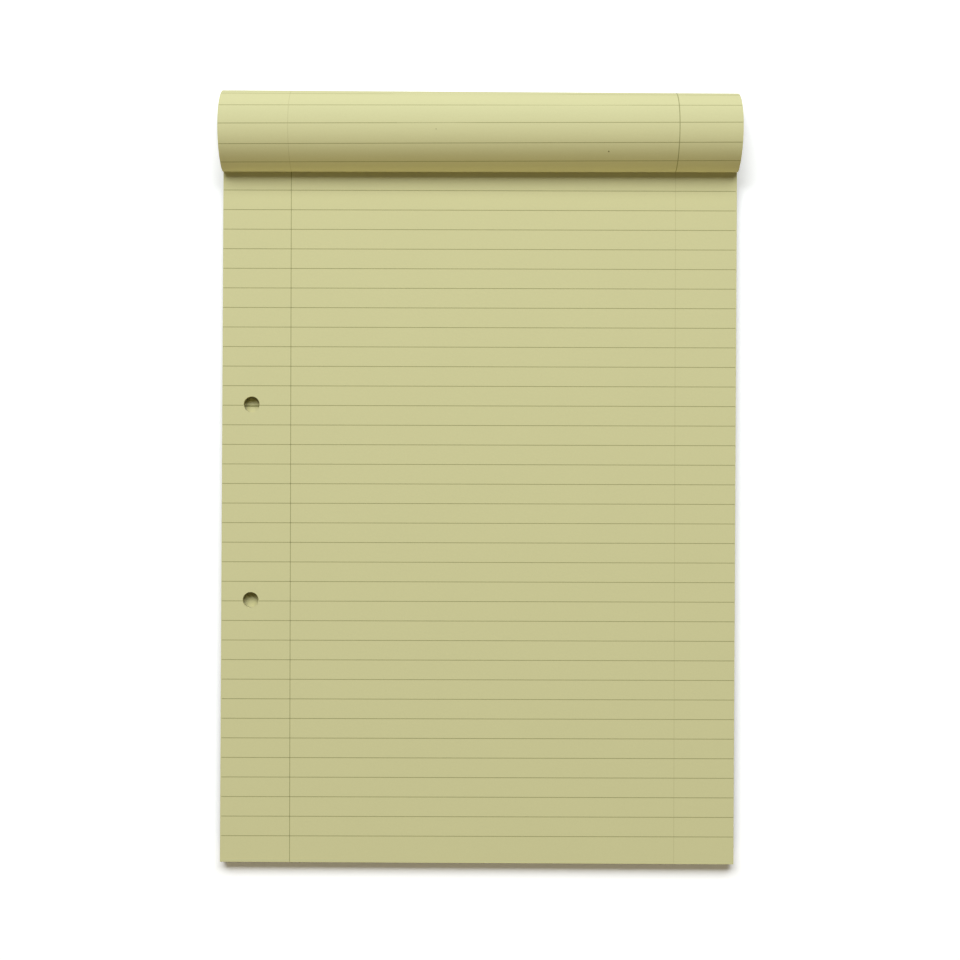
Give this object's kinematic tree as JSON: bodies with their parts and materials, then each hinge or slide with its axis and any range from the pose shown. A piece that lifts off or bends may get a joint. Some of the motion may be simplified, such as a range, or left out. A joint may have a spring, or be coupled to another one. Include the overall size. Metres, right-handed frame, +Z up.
{
  "type": "legal pad",
  "caption": "Flat ruled writing pad bound at its head, with leaves turned back over the head in a low arch and tucked under the backing card; punched at the left edge for filing.",
  "frame": {"origin": "centre of the sheet's footprint, on the flat underside of the turned leaves that the pad rests on", "axes": "+Y towards the bound head, +Z up from the table through the open page, +X to the reader's right"},
  "size_m": [0.21, 0.3153, 0.0194],
  "materials": {
    "leaf_paper": "matt uncoated yellow paper",
    "back_card": "matt grey-brown card",
    "head_tape": "matt brown paper tape",
    "stitch_wire": "galvanised steel wire",
    "ruling_ink": "matt printing ink"
  },
  "bodies": {
    "root": {"page_block": "leaf_paper", "turned_leaves": "leaf_paper", "backing_board": "back_card", "binding_tape": "head_tape", "wire_stitches": "stitch_wire", "page_ruling": "ruling_ink", "turned_ruling": "ruling_ink"}
  },
  "joints": []
}
